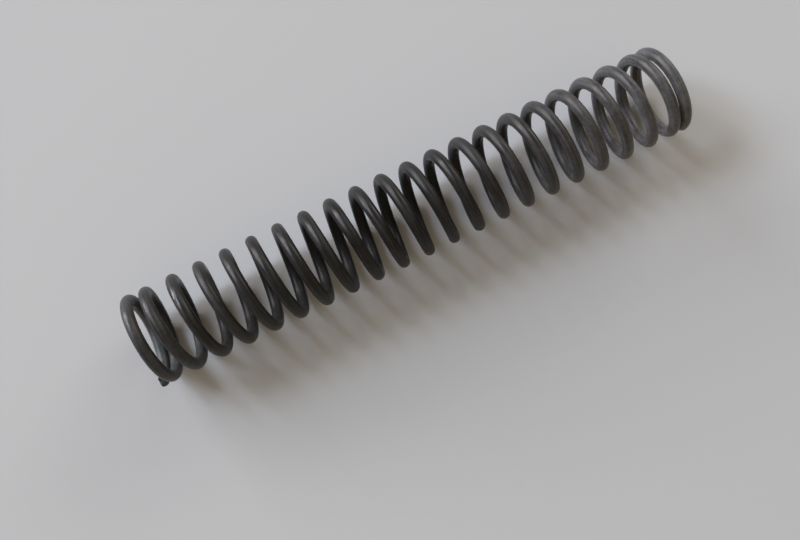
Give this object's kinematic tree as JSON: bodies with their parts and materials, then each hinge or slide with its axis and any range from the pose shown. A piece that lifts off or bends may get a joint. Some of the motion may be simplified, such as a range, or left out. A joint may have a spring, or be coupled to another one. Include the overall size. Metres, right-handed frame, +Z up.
{
  "type": "compression spring",
  "caption": "Long straight compression spring of round steel wire with closed ends, one tip ground flat, for a light suspension leg.",
  "frame": {"origin": "on the surface that the spring lies on, below the middle of its length", "axes": "+X along the coil's axis, towards the end whose last closed turns lie side by side; +Z up, away from the surface it lies on"},
  "size_m": [0.201, 0.0324, 0.0325],
  "materials": {
    "spring_wire": "hard-drawn spring steel with a dark phosphate skin, satin, with fine marks along the wire"
  },
  "bodies": {
    "root": {"coil_spring": "spring_wire"}
  },
  "joints": []
}
